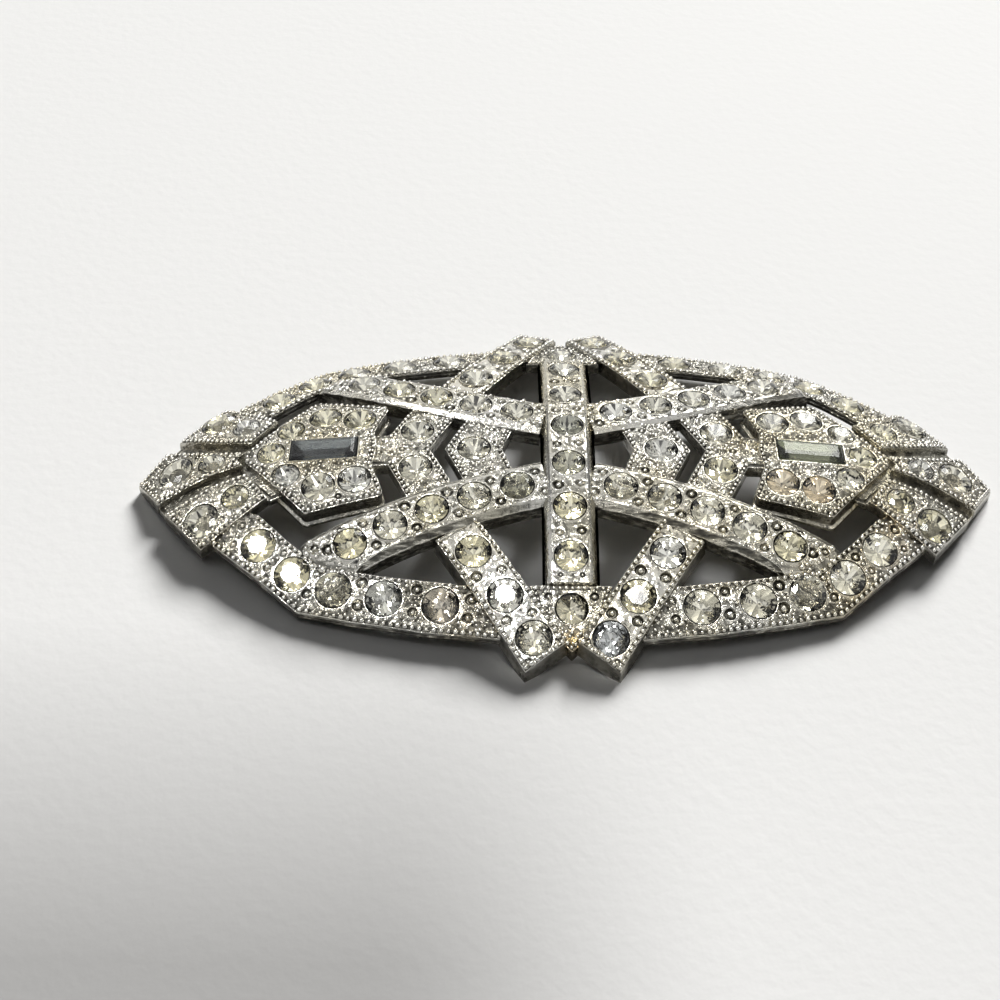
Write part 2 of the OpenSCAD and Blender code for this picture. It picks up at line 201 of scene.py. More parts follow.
def fine_loop(corners, step=0.45, keep=0.25, least=0.2):
    """The outline run anticlockwise with points along its edges, and the corner that each edge starts from"""
    corners = np.array(corners, float)
    names = np.arange(len(corners))
    x, y = corners.T
    if np.sum(x * np.roll(y, -1) - np.roll(x, -1) * y) < 0:
        corners, names = corners[::-1], np.roll(names[::-1], -1)
    loop, edge = [], []
    for a, b, name in zip(corners, np.roll(corners, -1, axis=0), names):
        length = np.linalg.norm(b - a)
        n = max(1, round((length - 2 * keep) / step)) if length > 2 * keep + least else 0
        loop.append(a)
        if n:
            loop += [a + (b - a) * (keep + (length - 2 * keep) * k / n) / length for k in range(n + 1)]
        edge += [name] * (len(loop) - len(edge))
    return np.array(loop), np.array(edge)

def inward(loop, sharpest=0.35):
    """At each point the step inwards that sets its edges off by one"""
    ahead = np.roll(loop, -1, axis=0) - loop
    n = np.stack([-ahead[:, 1], ahead[:, 0]], 1) / np.linalg.norm(ahead, axis=1)[:, None]
    before = np.roll(n, 1, axis=0)
    return (n + before) / np.maximum(1 + np.sum(n * before, axis=1), sharpest)[:, None]

def inside(points, loop):
    """Which of the points lie inside a closed outline"""
    x, y = points[:, 0][:, None], points[:, 1][:, None]
    x1, y1 = loop[:, 0], loop[:, 1]
    x2, y2 = np.roll(x1, -1), np.roll(y1, -1)
    with np.errstate(divide="ignore", invalid="ignore"):
        hit = ((y1 > y) != (y2 > y)) & (x < (x2 - x1) * (y - y1) / (y2 - y1) + x1)
    return hit.sum(1) % 2 == 1

# Rings of a stone's seat and of a pit with its grain: how much wider than the hole, height over the face, grime
seat_steps = [(0.22, 0, 0.1), (0.17, 0.05, 0), (0.1, 0.045, 0.2), (0.06, -0.08, 0.75), (0.05, -0.45, 0.6),
              (-0.3, -0.92, 0.6)]
pit_steps = [(0, 0, 0.1), (-0.06, 0.03, 0), (-0.14, 0.01, 0.2), (-0.28, -0.13, 0.6), (-0.42, -0.22, 0.8),
             (-0.5, -0.22, 0.8), (-0.55, -0.1, 0.45), (-0.68, 0.02, 0.1), (-0.84, 0.07, 0)]
seat_sides, pit_sides, seat_sink, grain_rise = 28, 14, -0.1, 0.02
# How worn the pits are, from shallow and clean to deep and dirty
worn_least, worn_most, worn_soil, worn_clean = 0.78, 1.1, 1.9, 1.05

def round_hole(radius, sides):
    """The outline of a round seat or pit, by how much wider it is at a step"""
    turn = np.arange(sides) * 2 * np.pi / sides
    return lambda grow: ((radius + grow) * np.cos(turn), (radius + grow) * np.sin(turn))

def group(name, kind, inputs, outputs):
    """A new node group with its named sockets; gives its tree, what it is given, and what it puts out"""
    tree = bpy.data.node_groups.new(name, kind)
    for in_out, sockets in (("INPUT", inputs), ("OUTPUT", outputs)):
        for label, sort in sockets.items():
            tree.interface.new_socket(label, in_out=in_out, socket_type="NodeSocket" + sort)
    return tree, tree.nodes.new("NodeGroupInput").outputs, tree.nodes.new("NodeGroupOutput").inputs

def through(tree, shape, *steps):
    """Runs a shape through one geometry node after another"""
    for kind, sockets, *settings in steps:
        shape = add_node(tree, "GeometryNode" + kind, {0: shape, **sockets}, **dict(*settings)).outputs[0]
    return shape

def small_balls(tree, points, given, kind, **shape):
    """Sets uneven balls on points, makes them real and gives them their metal"""
    ball = add_node(tree, "GeometryNodeMesh" + kind, {"Radius": 1, **shape}).outputs["Mesh"]
    low, high = (calc(tree, way, 1, given["Uneven"]) for way in ("SUBTRACT", "ADD"))
    chance = add_node(tree, "FunctionNodeRandomValue", {2: low, 3: high, "Seed": given["Seed"]}, data_type="FLOAT")
    size = calc(tree, "MULTIPLY", chance.outputs[1], given["Radius"])
    return through(tree, points, ("InstanceOnPoints", {"Instance": ball, "Scale": size}), ("RealizeInstances", {}),
                   ("SetShadeSmooth", {}), ("SetMaterial", {"Material": given["Metal"]}))

# Puts a bead at every step along the rows
ball_inputs = {"Radius": "Float", "Uneven": "Float", "Seed": "Int", "Metal": "Material"}
bead_rows, given, found = group("bead_rows", "GeometryNodeTree",
                                {"Rows": "Geometry", "Pitch": "Float", **ball_inputs}, {"Beads": "Geometry"})
paced = through(bead_rows, given["Rows"], ("MeshToCurve", {}),
                ("ResampleCurve", {"Length": given["Pitch"]}, {"mode": "LENGTH"}))
give(bead_rows, found, {"Beads": small_balls(bead_rows, paced, given, "UVSphere", Segments=8, Rings=5)})

# Scatters cast grain over the ground between the stones
cast_grain, given, found = group("cast_grain", "GeometryNodeTree",
                                 {"Ground": "Geometry", "Thick": "Float", "Gap": "Float", **ball_inputs},
                                 {"Grains": "Geometry"})
strewn = through(cast_grain, given["Ground"], (
    "DistributePointsOnFaces", {"Distance Min": given["Gap"], "Density Max": given["Thick"], "Seed": given["Seed"]},
    {"distribute_method": "POISSON"}))
give(cast_grain, found, {"Grains": small_balls(cast_grain, strewn, given, "IcoSphere", Subdivisions=1)})

def grow(name, mesh, tree, **values):
    """Runs a tree on a mesh once and keeps the plain mesh that comes out of it"""
    made = added(name, mesh)
    run = made.modifiers.new("grow", "NODES")
    run.node_group = tree
    for item in tree.interface.items_tree:
        if item.in_out == "INPUT" and item.name in values:
            run[item.identifier] = values[item.name]
    depsgraph = bpy.context.evaluated_depsgraph_get()
    grown = bpy.data.meshes.new_from_object(made.evaluated_get(depsgraph), preserve_all_data_layers=True,
                                            depsgraph=depsgraph)
    made.modifiers.remove(run)
    made.data = grown
    grown.name = name
    return made

def cast_in(made):
    """Says that a piece moves with the casting"""
    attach(made, "root")
    return made

# Amber glue at the front keystone's point, and brown stains about the edge: place, reach and strength
stains = [(0, -18.3, 0.85, 1), (27, -7.5, 3, 0.4), (24, -13, 2, 0.35), (-8.5, -16.8, 2.2, 0.3), (35.5, 0, 3, 0.15),
          (-33, 3.5, 2, 0.15)]
# The net that fills a face: how far apart its rows are and how far it keeps off the rings, by its step; how
# near its points are welded; and its step on a face and on a back
net_row, net_gap, net_weld, face_step, back_step = 0.866, 0.45, 1e-5, 0.27, 1.2
# Where the beads run, in from the edge and over the face; the grime of a rim; and how sharp a turn stays sharp
bead_inset, bead_lift, rim_grime, sharp_turn = 0.24, -0.01, 0.15, math.radians(32)

class Cast:
    """The mesh of one group of cast forms as it grows: points in millimetres, faces, and grime with painted shade"""
    def __init__(self):
        self.points, self.faces, self.grime, self.rows, self.ground = [], [], [], [], []

    def add(self, points, grime):
        first = len(self.points)
        self.points += [tuple(p) for p in points]
        self.grime += list(np.broadcast_to(grime, (len(points),)))
        return np.arange(first, len(self.points))

    def bridge(self, rings):
        for low, high in zip(rings, rings[1:]):
            n = len(low)
            self.faces += [(low[i], low[(i + 1) % n], high[(i + 1) % n], high[i]) for i in range(n)]

    def fill(self, ring, holes, level, step, flip=False, rough=0, soil=0.25):
        """A face inside a ring and round its holes, as a net of small triangles; rough where grain is to lie"""
        flat = [np.array([self.points[i][:2] for i in r]) for r in [ring, *holes]]
        fixed = np.concatenate(flat)
        lo, hi = fixed.min(0), fixed.max(0)
        gx, gy = np.meshgrid(np.arange(lo[0], hi[0], step), np.arange(lo[1], hi[1], step * net_row))
        gx = gx + (np.arange(gx.shape[0]) % 2 * step / 2)[:, None]
        free = np.stack([gx.ravel(), gy.ravel()], 1)
        free = free[inside(free, flat[0])]
        edges, first = [], 0
        for r in flat:
            free = free[np.linalg.norm(free[:, None] - r[None], axis=2).min(1) > net_gap * step]
            edges += [(first + i, first + (i + 1) % len(r)) for i in range(len(r))]
            first += len(r)
        for r in flat[1:]:
            free = free[~inside(free, r)]
        every = [Vector(p) for p in np.concatenate([fixed, free])]
        spots, _, tris, source, *_ = geometry.delaunay_2d_cdt(every, edges, [], 0, net_weld)
        spots, tris = np.array([tuple(p) for p in spots]), np.array(tris)
        known = [i for r in [ring, *holes] for i in r]
        old = {k: next((known[i] for i in s if i < len(fixed)), None) for k, s in enumerate(source)}
        fresh = [k for k, name in old.items() if name is None]
        names = np.array([name or 0 for name in old.values()])
        height = level(spots[fresh, 0], spots[fresh, 1]) + (rng.normal(0, rough, len(fresh)) if rough else 0)
        names[fresh] = self.add(np.column_stack([spots[fresh], height]), soil)
        centre = spots[tris].mean(1)
        keep = inside(centre, flat[0])
        for r in flat[1:]:
            keep &= ~inside(centre, r)
        made = [tuple(t) for t in names[tris[keep]]]
        self.faces += [t[::-1] for t in made] if flip else made
        self.ground += made if rough else []

    def hollow(self, frame_at, outline, steps, level):
        """A seat or a pit in a face: a ring for each step, then its middle"""
        spot, along, across, out = frame_at
        rings = []
        for k, (grow, h, g) in enumerate(steps):
            a, b = outline(grow)
            p = spot + a[:, None] * along + b[:, None] * across + h * out
            if k == 0:
                p[:, 2] = level(p[:, 0], p[:, 1])
            rings.append(self.add(p, g))
        height = steps[-1][1] + (seat_sink if steps is seat_steps else grain_rise)
        middle = self.add([spot + height * out], steps[-1][2])[0]
        self.bridge(rings)
        last, n = rings[-1], len(rings[-1])
        self.faces += [(last[i], last[(i + 1) % n], middle) for i in range(n)]
        return rings[0]

    def form(self, corners, level, thick, seats=(), pits=(), slots=(), beads=(), foot=0, core=(), wall=0.5, lip=None,
             edge=((0, -0.24), (0.03, -0.08, 0), (0.08, -0.06, 0.3), (0.16, -0.11, 0.9), (0.34, -0.11, 0.95),
                   (0.44, 0, 0.4)), rough=0, soil=0.3):
        """A cast form with a flat outline: wall, rounded edge, face with seats and pits, and back. Core and edge
        list its rings from the foot up: how far in, height over the face, and grime, which on the walls is
        partly painted shade. Rows of beads run along the edges that start from the corners in beads."""
        loop, name, inner = corners if isinstance(corners, tuple) else (*fine_loop(corners), None)
        inner = inward(loop) if inner is None else inner
        depth = thick if callable(thick) else lambda x, y: thick

        def ring(inset, lift, grime):
            p = loop + np.asarray(inset)[..., None] * inner
            return self.add(np.column_stack([p, level(p[:, 0], p[:, 1]) + lift]), grime)
        deep = depth(*loop.T)
        rings = [ring(foot, -deep, wall if lip is None else lip)] + [ring(*(*c, wall)[:3]) for c in core]
        rings += [] if core else [ring(0, -0.5 * deep, wall)]
        rim = [ring(*(*e, rim_grime)[:3]) for e in edge]
        self.bridge(rings + rim)
        holes = [self.hollow(stone_frame(x, y, lv, turn), round_hole(d / 2, seat_sides), seat_steps, level)
                 for x, y, lv, d, turn in seats]
        for (x, y, lv, r), worn in [(p, rng.uniform(worn_least, worn_most)) for p in pits]:
            rings_of_pit = [(k * r * worn, h * r * worn * 2, g * (worn_soil * worn - worn_clean))
                            for k, h, g in pit_steps]
            holes.append(self.hollow(stone_frame(x, y, lv, 0), round_hole(r * worn, pit_sides), rings_of_pit, level))
        holes += [self.hollow(place, long_hole(l, w), seat_steps, level) for place, l, w in slots]
        self.fill(rim[-1], holes, level, face_step, rough=rough, soil=soil)
        self.fill(rings[0], [], lambda x, y: level(x, y) - depth(x, y), back_step, flip=True)
        path = loop + bead_inset * inner
        path = np.column_stack([path, level(path[:, 0], path[:, 1]) + bead_lift])
        n, on, run = len(loop), [corner in beads for corner in name], []
        start = next((i for i in range(n) if on[i] and not on[i - 1]), 0)
        for i in range(start, start + n + 1):
            if on[i % n] and i < start + n:
                run.append(path[i % n])
            elif run:
                self.rows.append(np.array(run + [path[i % n]]))
                run = []

    def piece(self, name, material):
        """All its forms as one piece, with the grime and painted shade and the stains marked on it"""
        spots = np.array(self.points)[:, :2]
        stain = sum(much * np.exp(-np.sum((spots - (x, y)) ** 2, axis=1) / reach ** 2) for x, y, reach, much in stains)
        mesh = bpy.data.meshes.new(name)
        mesh.from_pydata([(x * mm, y * mm, max(z, 0) * mm) for x, y, z in self.points], [], self.faces)
        for label, values in (("grime", self.grime), ("stain", np.clip(stain, 0, 1))):
            mesh.attributes.new(label, "FLOAT", "POINT").data.foreach_set("value", np.array(values, np.float32))
        mesh.materials.append(material)
        mesh.shade_smooth()
        mesh.set_sharp_from_angle(angle=sharp_turn)
        return cast_in(added(name, mesh))

    def milgrain(self, name, pitch, bead, uneven=0.2):
        """The rows of beads as one piece"""
        points = [tuple(p) for run in self.rows for p in run * mm]
        ends = np.cumsum([0] + [len(run) for run in self.rows])
        links = [(i, i + 1) for a, b in zip(ends, ends[1:]) for i in range(a, b - 1)]
        mesh = bpy.data.meshes.new(name)
        mesh.from_pydata(points, links, [])
        return cast_in(grow(name, mesh, bead_rows, Pitch=pitch * mm, Radius=bead * mm, Uneven=uneven,
                            Seed=len(points), Metal=plated))

    def grain(self, name, thick, size=0.15, uneven=0.4, gap=0.28, beyond=0):
        """Cast grain, so many to a square millimetre, on the rough ground beyond a length from the middle"""
        ground = [f for f in self.ground if abs(self.points[f[0]][0]) >= beyond]
        used = sorted({i for f in ground for i in f})
        place = {i: k for k, i in enumerate(used)}
        mesh = bpy.data.meshes.new(name)
        mesh.from_pydata([tuple(np.array(self.points[i]) * mm) for i in used], [],
                         [tuple(place[i] for i in f) for f in ground])
        return cast_in(grow(name, mesh, cast_grain, Thick=thick * per_mm2, Gap=gap * mm, Radius=size * mm,
                            Uneven=uneven, Seed=len(used), Metal=plated))

# Old white metal: the marked grime and painted shade, with tarnish, dents and file marks, turn it dark, dull and no
# longer metallic
metal_grime, given, found = group(
    "metal_grime", "ShaderNodeTree",
    {"Tarnish": "Float", "Scale": "Float", "Polish": "Float", "Dents": "Float", "Filed": "Float", "Draw": "Vector"},
    {"Color": "Color", "Roughness": "Float", "Metallic": "Float", "Height": "Float"})

def mark(tree, name, kind="Fac"):
    """What a piece has marked on it under a name"""
    return add_node(tree, "ShaderNodeAttribute", attribute_name=name).outputs[kind]

def work(kind, a, b, clamp=False):
    return calc(metal_grime, kind, a, b, clamp)

def times(a, *more):
    for b in more:
        a = work("MULTIPLY", a, b)
    return a

def over(layer, least, steep, clamp=False):
    """How far a layer is over its least value, made steeper"""
    return work("MULTIPLY", work("SUBTRACT", layer, least), steep, clamp)

spot, grime = add_node(metal_grime, "ShaderNodeTexCoord").outputs["Object"], mark(metal_grime, "grime")
wide, fine = noise(metal_grime, spot, 260, 3), noise(metal_grime, spot, given["Scale"], 4, 0.6)
blots = times(work("ADD", over(wide, 0.5, 1.6), over(fine, 0.5, 1.6)), given["Tarnish"])
dents = times(over(noise(metal_grime, spot, 2600, 2), 0.55, 6, True), given["Dents"])
drawn = add_node(metal_grime, "ShaderNodeVectorMath", {0: spot, 1: given["Draw"]},
                 operation="MULTIPLY").outputs["Vector"]
file_marks = times(over(noise(metal_grime, drawn, 1, 3), 0.47, 5), grime, given["Filed"])
dirt_and_shade = work("ADD", work("ADD", grime, work("ADD", blots, dents)), file_marks, True)
tone = ramp(metal_grime, dirt_and_shade, [(0, (0.52, 0.508, 0.471)), (0.3, (0.39, 0.38, 0.343)), (0.65, (0.185, 0.179, 0.154)),
                                (1, (0.07, 0.066, 0.055))])
warm = over(noise(metal_grime, spot, 120, 2), 0.42, 4, True)
tone = mix(metal_grime, warm, tone, (1, 0.955, 0.835), "MULTIPLY")
tone = mix(metal_grime, mark(metal_grime, "stain"), tone, (1, 0.80, 0.46), "MULTIPLY")
dulled = work("SUBTRACT", dirt_and_shade, 0.25, True)
give(metal_grime, found, {
    "Color": tone, "Metallic": work("SUBTRACT", 1, times(dulled, 0.9)),
    "Roughness": work("ADD", work("ADD", times(dirt_and_shade, 0.2), given["Polish"]), times(fine, 0.06)),
    "Height": work("SUBTRACT", work("ADD", fine, times(wide, 0.8)), work("ADD", dents, file_marks))})

def silver(name, bump, relief=0.6, **values):
    """One finish of the white metal, with its own amounts of wear"""
    made, tree, shader = painted(name)
    old = add_node(tree, "ShaderNodeGroup", node_tree=metal_grime)
    give(tree, old.inputs, values)
    raised = add_node(tree, "ShaderNodeBump", {"Height": old.outputs["Height"], "Distance": bump, "Strength": relief})
    give(tree, shader, {"Base Color": old.outputs["Color"], "Roughness": old.outputs["Roughness"],
                        "Metallic": old.outputs["Metallic"], "Normal": raised.outputs["Normal"]})
    return made

even, filed_long, filed_wide = (1100, 1100, 1100), (300, 2600, 2600), (2600, 500, 1500)
plated, grained, filed_along, filed_across = (
    silver(name, bump, Tarnish=tarnish, Scale=scale, Polish=polish, Dents=dents, Filed=filed, Draw=draw)
    for name, bump, tarnish, scale, polish, dents, filed, draw in (
        ("plated_white_metal", 0.00008, 0.25, 1400, 0.03, 0.05, 0.6, even),
        ("cast_white_metal", 0.00016, 0.5, 1900, 0.04, 0.3, 0.6, even),
        ("filed_arc_metal", 0.00009, 0.25, 1400, 0.04, 0.1, 1.3, filed_long),
        ("filed_bar_metal", 0.00009, 0.25, 1400, 0.04, 0.1, 0.8, filed_wide)))

# One quarter of the border: its outline, its stones (x, y, level, width, turn) and its pits (x, y, radius)
border_rim = [[3.4, 18.2], [5.9, 18], [12, 17.3], [18, 16.15], [22.6, 14.95], [29.1, 9.4], [30.4, 8.2],
              [28.2, 5.2], [26.3, 6.3], [23.7, 8.95], [20.7, 11.55], [15, 12.75], [8.9, 13.6], [5.6, 14]]
border_rows = [(x, y, 0, 3, turn) for x, y, turn in
               ((10.7, 15.25, -9), (15.4, 14.5, -11), (19.6, 13.55, -16), (23.15, 11.9, -36), (26.2, 9.1, -41))]
border_pits = [(x, y, 0, r) for x, y, r in (
    (12.66, 13.9, 0.6), (13.0, 15.7, 0.62), (17.23, 13.1, 0.6), (17.5, 14.9, 0.62), (21.0, 12.1, 0.55),
    (21.85, 13.6, 0.55), (24.0, 10.05, 0.5), (25.3, 11.0, 0.5), (27.8, 7.0, 0.55), (8.2, 14.85, 0.6),
    (8.5, 16.3, 0.55), (28.4, 8.6, 0.45), (6.8, 15.2, 0.4))]
quarters = [(sx, sy) for sx in (1, -1) for sy in (1, -1)]

def at(rows, sx, sy=1):
    """Stones, pits or corners turned over into another quarter; only a stone's row has a turn as its fifth value"""
    return [(sx * x, sy * y, *rest[:2], *(sx * sy * turn for turn in rest[2:])) for x, y, *rest in rows]

def raised(lift):
    return lambda x, y: skin(x, y) + lift

border = Cast()
for sx, sy in quarters:
    border.form(at(border_rim, sx, sy), skin, 1.1, at(border_rows, sx, sy), at(border_pits, sx, sy),
                beads=(0, 1, 2, 3, 4, 5, 8, 9, 10, 11, 12), rough=0.11, soil=0.58, wall=0.82, foot=0.35,
                core=[(0.28, -0.8), (0.02, -0.7), (0, -0.56), (0.07, -0.46), (0.07, -0.38), (0, -0.3)])
border_piece = border.piece("border", grained)
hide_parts("cast_mount")
border.milgrain("border_beads", 0.6, 0.22)
border.grain("border_grain", 8.0)

# ---------- the keystones ----------
# A small cast wedge between each pair of straps, with one stone and a crowded ground of cast grain;
# part of the same white-metal casting.
keys = Cast()
key_lift = 0.3
key_rows = [(0, sy * 15.85, key_lift, 2.6, 0) for sy in (1, -1)]
for sy, row in zip((1, -1), key_rows):
    keys.form([(-3.4, sy * 13.9), (3.4, sy * 13.9), (2.4, sy * 17), (0, sy * 19.2), (-2.4, sy * 17)],
              raised(key_lift), 1.15, [row],
              [(x, sy * 14.85, key_lift, 0.45) for x in (-1.88, 1.88)], beads=(0, 1, 2, 3, 4), rough=0.09)
keys.piece("keystones", grained)
keys.milgrain("keystone_beads", 0.5, 0.2)
keys.grain("keystone_grain", 8.0)

# ---------- the straps ----------
# Four straight cast straps run from the edge in under the arcs, three stones on each, with their tips
# standing proud of the border; the same white metal, with a row of small beads along each side.
lean = math.radians(33.2)
strap_dir = np.array([math.sin(lean), -math.cos(lean)])
strap_side = np.array([-strap_dir[1], strap_dir[0]])
strap_tip, strap_l, strap_level = np.array([2.15, 19.95]), 13.6, 1.0

def strap_height(x, y):
    along = (np.abs(x) - strap_tip[0]) * strap_dir[0] + (np.abs(y) - strap_tip[1]) * strap_dir[1]
    return skin(x, y) + strap_level * (1 - along / strap_l)

def strap_spot(along, across, *rest):
    x, y = strap_tip + along * strap_dir + across * strap_side
    return x, y, strap_level * (1 - along / strap_l), *rest

straps = Cast()
strap_rows = [strap_spot(along, 0, 2.9, 33.2) for along in (1.75, 6, 10.8)]
strap_pits = [strap_spot(along + shift, w, 0.62)
              for along in (3.87, 8.4) for w, shift in ((1.02, 0.33), (-1.02, -0.33))]
strap_pits += [strap_spot(0.5, w, 0.36) for w in (-1.35, 1.35)]
for sx, sy in quarters:
    corners = [strap_tip + 2 * strap_side, strap_tip - 2 * strap_side,
               strap_tip - 2 * strap_side + strap_l * strap_dir, strap_tip + 2 * strap_side + strap_l * strap_dir]
    straps.form(at(corners, sx, sy), strap_height, 1.5, at(strap_rows, sx, sy), at(strap_pits, sx, sy),
                beads=(0, 1, 3), foot=-0.1, rough=0.055, soil=-0.1, wall=0.42,
                edge=((0, -0.24), (0.03, -0.08, 0), (0.08, -0.06, 0.2), (0.16, -0.11, 0.5), (0.34, -0.11, 0.5),
                      (0.44, 0, 0)))
straps.piece("straps", plated)
straps.milgrain("strap_beads", 0.6, 0.24)

# ---------- the arcs ----------
# Two curved cast bars that cross behind the centre bar and run out into the border, five stones on
# each half; white metal with a polished bevel along both edges and filed walls.
arc_mid, arc_slope, arc_bend, arc_half, arc_lift = 3.6, 0.21, 0.0077, 2.3, 0.45

def arc_y(x):
    return arc_mid + arc_slope * abs(x) + arc_bend * x * x

def arc_lean(x):
    return arc_slope + 2 * arc_bend * x

def arc_height(x, y):
    """The arcs' face, which dips under the border where it meets the border's inner edge"""
    a, b = np.abs(x) - 20.7, np.abs(y) - 11.55
    gap = np.minimum(-0.206 * a - 0.979 * b, -0.655 * a - 0.756 * b)
    return skin(x, y) + 0.65 * np.clip((gap + 0.3) / 0.8, 0, 1) - 0.2

arcs = Cast()
arc_rows = [(x, arc_y(x), arc_lift, 2.8, math.degrees(math.atan(arc_lean(x))))
            for x in (4.4, 8.05, 11.6, 15.05, 18.35)]
arc_pits = []
for x in (2.5, 6.25, 9.85, 13.35, 16.75):
    n = np.array([-arc_lean(x), 1]) / math.hypot(arc_lean(x), 1)
    arc_pits += [(x + w * n[0] - 0.12 * w, arc_y(x) + w * n[1], arc_lift, 0.58) for w in (1.12, -1.12)]
arc_pits += [(x, arc_y(x) - down, arc_lift, r)
             for x, down, r in ((20.2, 0.55, 0.6), (21.3, 1.35, 0.5), (19.3, 1.75, 0.4))]
for sx, sy in quarters:
    line = np.arange(1.9, 21.51, 0.49)
    slope = arc_lean(line)
    n = np.stack([-slope, np.ones_like(slope)], 1) / np.hypot(slope, 1)[:, None]
    mid = np.stack([line, arc_y(line)], 1)
    loop = np.concatenate([mid - arc_half * n, (mid + arc_half * n)[::-1]]) * (sx, sy)
    outer = np.concatenate([np.zeros(len(line)), np.ones(len(line))])
    inner = np.concatenate([n, -n[::-1]]) * (sx, sy)
    if sx * sy < 0:
        loop, outer, inner = loop[::-1], outer[::-1], inner[::-1]
    # The bevel is deeper on the outer side and runs out there; along part of the near arc's way its bevel carries a
    # painted dark reflection on top of its grime
    drop = -0.25 - 0.25 * outer
    wide = 1 - 0.85 * outer * np.clip((np.abs(loop[:, 0]) - 15.5) / 2.5, 0, 1)
    bevel_grime_and_shade = 0.2 + 0.4 * np.clip((loop[:, 0] - 3) / 4, 0, 1) + 0.3 * np.clip((-loop[:, 0] - 7) / 4, 0, 1)
    bevel_grime_and_shade = bevel_grime_and_shade if sy < 0 else 0.12
    arcs.form((loop, np.zeros(len(loop), int), inner), arc_height, 1.7, at(arc_rows, sx, sy), at(arc_pits, sx, sy),
              edge=((0, drop - 0.06, 0.6), (0.04, drop, 0.1), (0.1, drop * 0.9, bevel_grime_and_shade), (0.42 * wide, drop * 0.14, bevel_grime_and_shade),
                    (0.46 * wide, drop * 0.06, 0), (0.5 * wide, 0, 0)), rough=0.07, wall=0.5, soil=0.3)
arcs.piece("arcs", filed_along)
arcs.grain("arc_grain", 4.0, 0.16)
arcs.grain("arc_end_grain", 4.0, 0.3, 0.35, gap=0.62, beyond=18.6)

# ---------- the centre bar ----------
# A straight cast bar laid over both arcs, six stones along it, with dark filed walls that slope out
# to its foot. Each gap between two stones has a drilled pit on either side.
bar_lift, bar_half, bar_end = 0.75, 2.35, 13.95

def four_ways(rows):
    return [(sx * x, sy * y, level, d, sx * sy * turn) for x, y, level, d, turn in rows
            for sx in ((1,) if x == 0 else (1, -1)) for sy in ((1,) if y == 0 else (1, -1))]

bar = Cast()
bar_rows = four_ways([(0, 2.36 + 4.68 * i, bar_lift, 2.75, 0) for i in range(3)])
bar_pits = [(sx * 0.93, y + 0.1 * sx, bar_lift, 0.56) for y in (-9.5, -4.7, 0, 4.7, 9.5) for sx in (1, -1)]
bar_pits += [(sx * 0.9, sy * 13.35, bar_lift, 0.3) for sx, sy in quarters]
loop, name = fine_loop([(-bar_half, -bar_end), (bar_half, -bar_end), (bar_half, bar_end), (-bar_half, bar_end)])
bar.form((loop, name, np.column_stack([-loop[:, 0] / bar_half, 0 * loop[:, 0]])), raised(bar_lift), 1.35,
         bar_rows, bar_pits, rough=0.05, wall=0.45, soil=0.46,
         edge=((0, -1.05, 0.3), (0.08, -0.86, 0.2), (0.2, -0.58, 0.1), (0.38, -0.34, 0.15), (0.6, -0.13, 0.05),
               (0.72, -0.03, 0), (0.78, 0, 0)))
bar.piece("centre_bar", filed_across)
bar.grain("bar_grain", 2.5, 0.11)

# ---------- the chevrons ----------
# Two cast chevrons on each side, pointing outwards, with beaded edges and open slots between them;
# one stone on the inner one and two on the outer, which a short tongue joins to the block.
chevrons = Cast()
chevron_lift = 0.1
inner_chevron = [(5.7, 0), (4.2, 4.2), (7.8, 5.6), (9, 3.7), (10.7, 0), (9, -3.7), (7.8, -5.6), (4.2, -4.2)]
outer_chevron = [(12, 0), (9.5, 5), (13, 7), (15.55, 1.9), (17.4, 1.9), (17.4, -1.9), (15.55, -1.9), (13, -7),
                 (9.5, -5)]
inner_rows = [(8.15, 0, chevron_lift, 2.8, 0)]
outer_rows = [(13.15, 2.3, chevron_lift, 2.8, -25), (13.15, -2.3, chevron_lift, 2.8, 25)]
for sx in (1, -1):
    for corners, rows, pits, beads in (
            (inner_chevron, inner_rows, ((6.6, 2.5), (6.6, -2.5)), (0, 2, 3, 4, 5, 7)),
            (outer_chevron, outer_rows, ((14.4, 0), (12.5, 5.2), (12.5, -5.2)), (0, 2, 6, 8))):
        chevrons.form(at(corners, sx), raised(chevron_lift), 1.15, at(rows, sx),
                      [(sx * x, y, chevron_lift, 0.42) for x, y in pits], beads=beads, rough=0.1)
chevrons.piece("chevrons", grained)
chevrons.milgrain("chevron_beads", 0.5, 0.19)
chevrons.grain("chevron_grain", 7.0)

# ---------- the shoulder blocks ----------
# A cast block in each shoulder, softly rounded at its corners, with a long seat for the baguette and
# seven round stones about it.
blocks = Cast()
block_lift = 0.45
block_rim = [(16.6, 0), (16.9, 2.05), (15.7, 5.5), (22.4, 6.95), (28.2, 0.5), (28.2, -0.5), (22.4, -6.95),
             (15.7, -5.5), (16.9, -2.05)]
block_rows = [(x, y, block_lift, d, turn) for x, y, d, turn in
              ((18.3, 3.75, 2.8, 12), (21.4, 4.3, 2.8, 12), (24.35, 2.8, 2.4, -48), (25.85, 0, 2.4, 0))]
block_pits = [(x, y, block_lift, r) for x, y, r in (
    (19.6, 5.45, 0.36), (16.75, 4.95, 0.32), (23.0, 5.35, 0.4), (26.6, 1.6, 0.3), (17.3, 1.5, 0.3))]
baguette_x, baguette_l, baguette_w = 21.2, 2.9, 1.2

